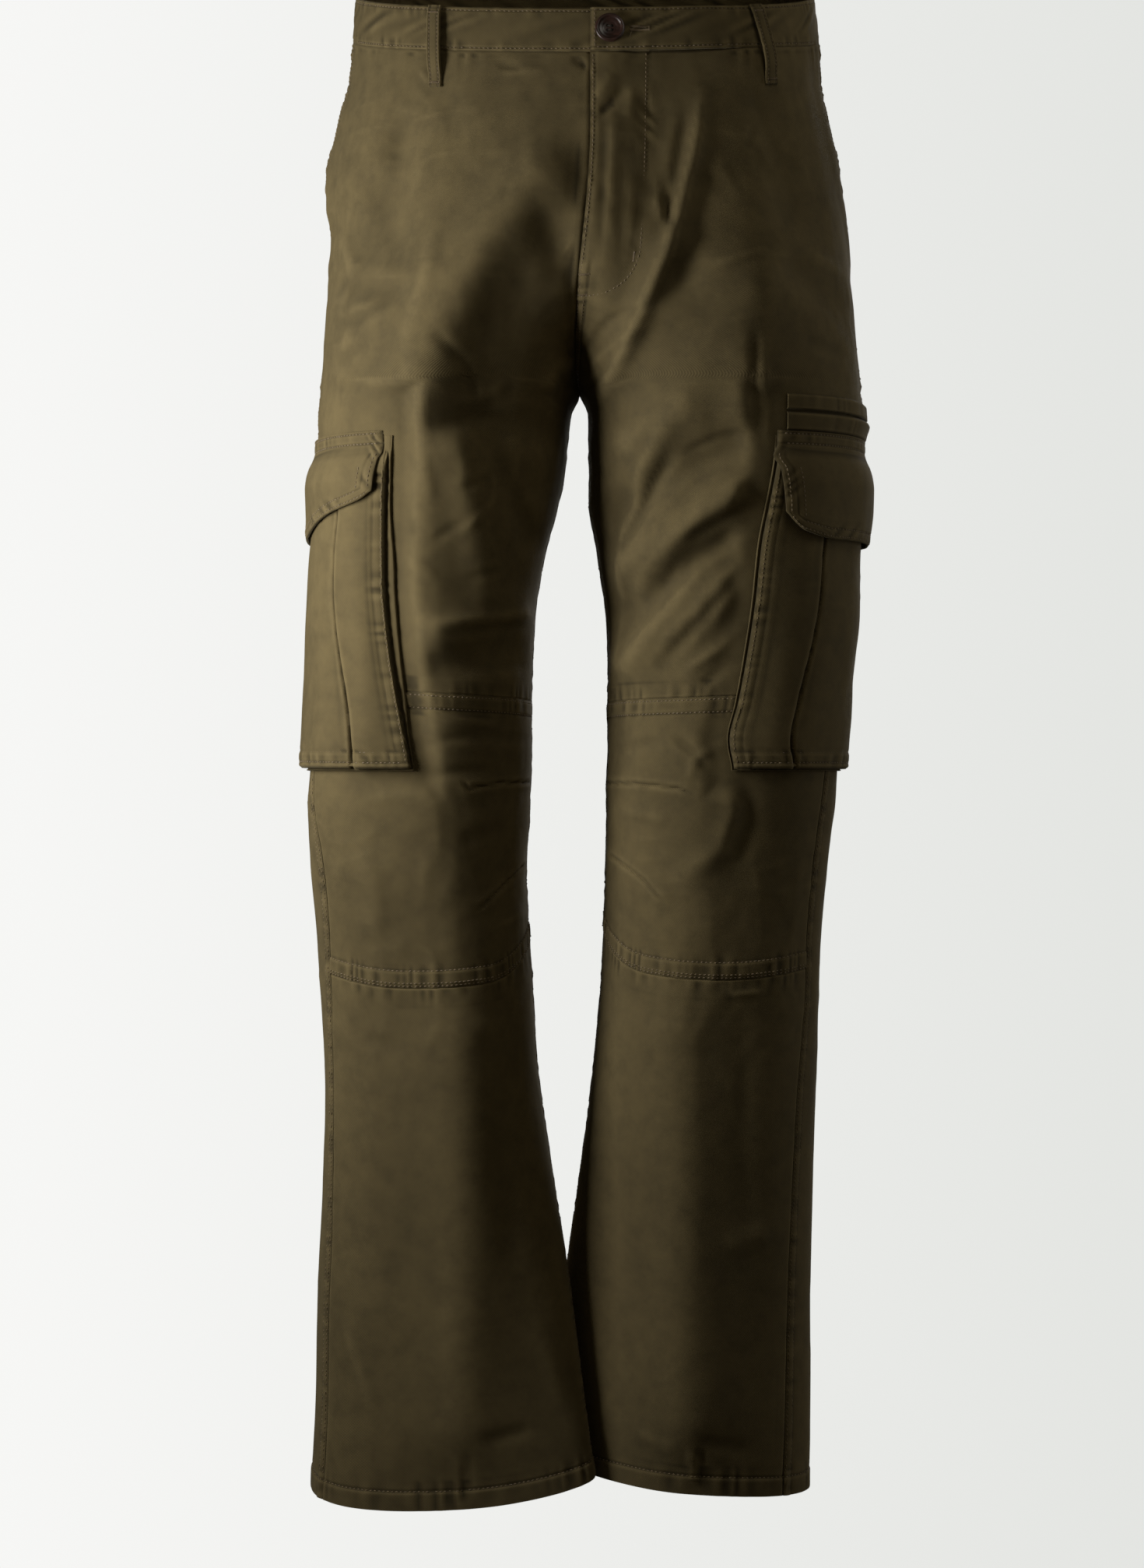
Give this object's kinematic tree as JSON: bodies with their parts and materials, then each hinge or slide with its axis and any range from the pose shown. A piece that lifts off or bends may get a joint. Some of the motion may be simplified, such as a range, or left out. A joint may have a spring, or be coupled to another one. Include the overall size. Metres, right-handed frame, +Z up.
{
  "type": "cargo_pants",
  "caption": "Straight-leg cargo trousers in olive brown cotton twill, worn shape, with slanted hip pockets, knee panels and flapped bellows pockets on the thighs.",
  "frame": {"origin": "the middle of the waist opening, at the height of the waistband's top edge at the sides", "axes": "+Z up towards the waist, the front faces -Y, the wearer's left leg is on +X"},
  "size_m": [0.411, 0.2729, 1.1095],
  "materials": {
    "twill": "matte olive brown cotton twill, garment washed, paler at seams and edges",
    "button": "dark brown moulded plastic with a soft shine"
  },
  "bodies": {
    "root": {"front_right": "twill", "front_left": "twill", "knee_right": "twill", "knee_left": "twill", "shin_right": "twill", "shin_left": "twill", "back_right": "twill", "back_lower_right": "twill", "back_left": "twill", "back_lower_left": "twill", "pocket_facing_right": "twill", "pocket_facing_left": "twill", "cargo_bag_right": "twill", "cargo_bag_left": "twill", "cargo_gusset_right": "twill", "cargo_gusset_left": "twill", "cargo_flap_right": "twill", "cargo_flap_left": "twill", "welt_upper_left": "twill", "welt_lower_left": "twill", "waistband": "twill", "belt_loop_front_right": "twill", "belt_loop_front_left": "twill", "belt_loop_side_right": "twill", "belt_loop_side_left": "twill", "belt_loop_back": "twill", "button": "button"}
  },
  "joints": []
}
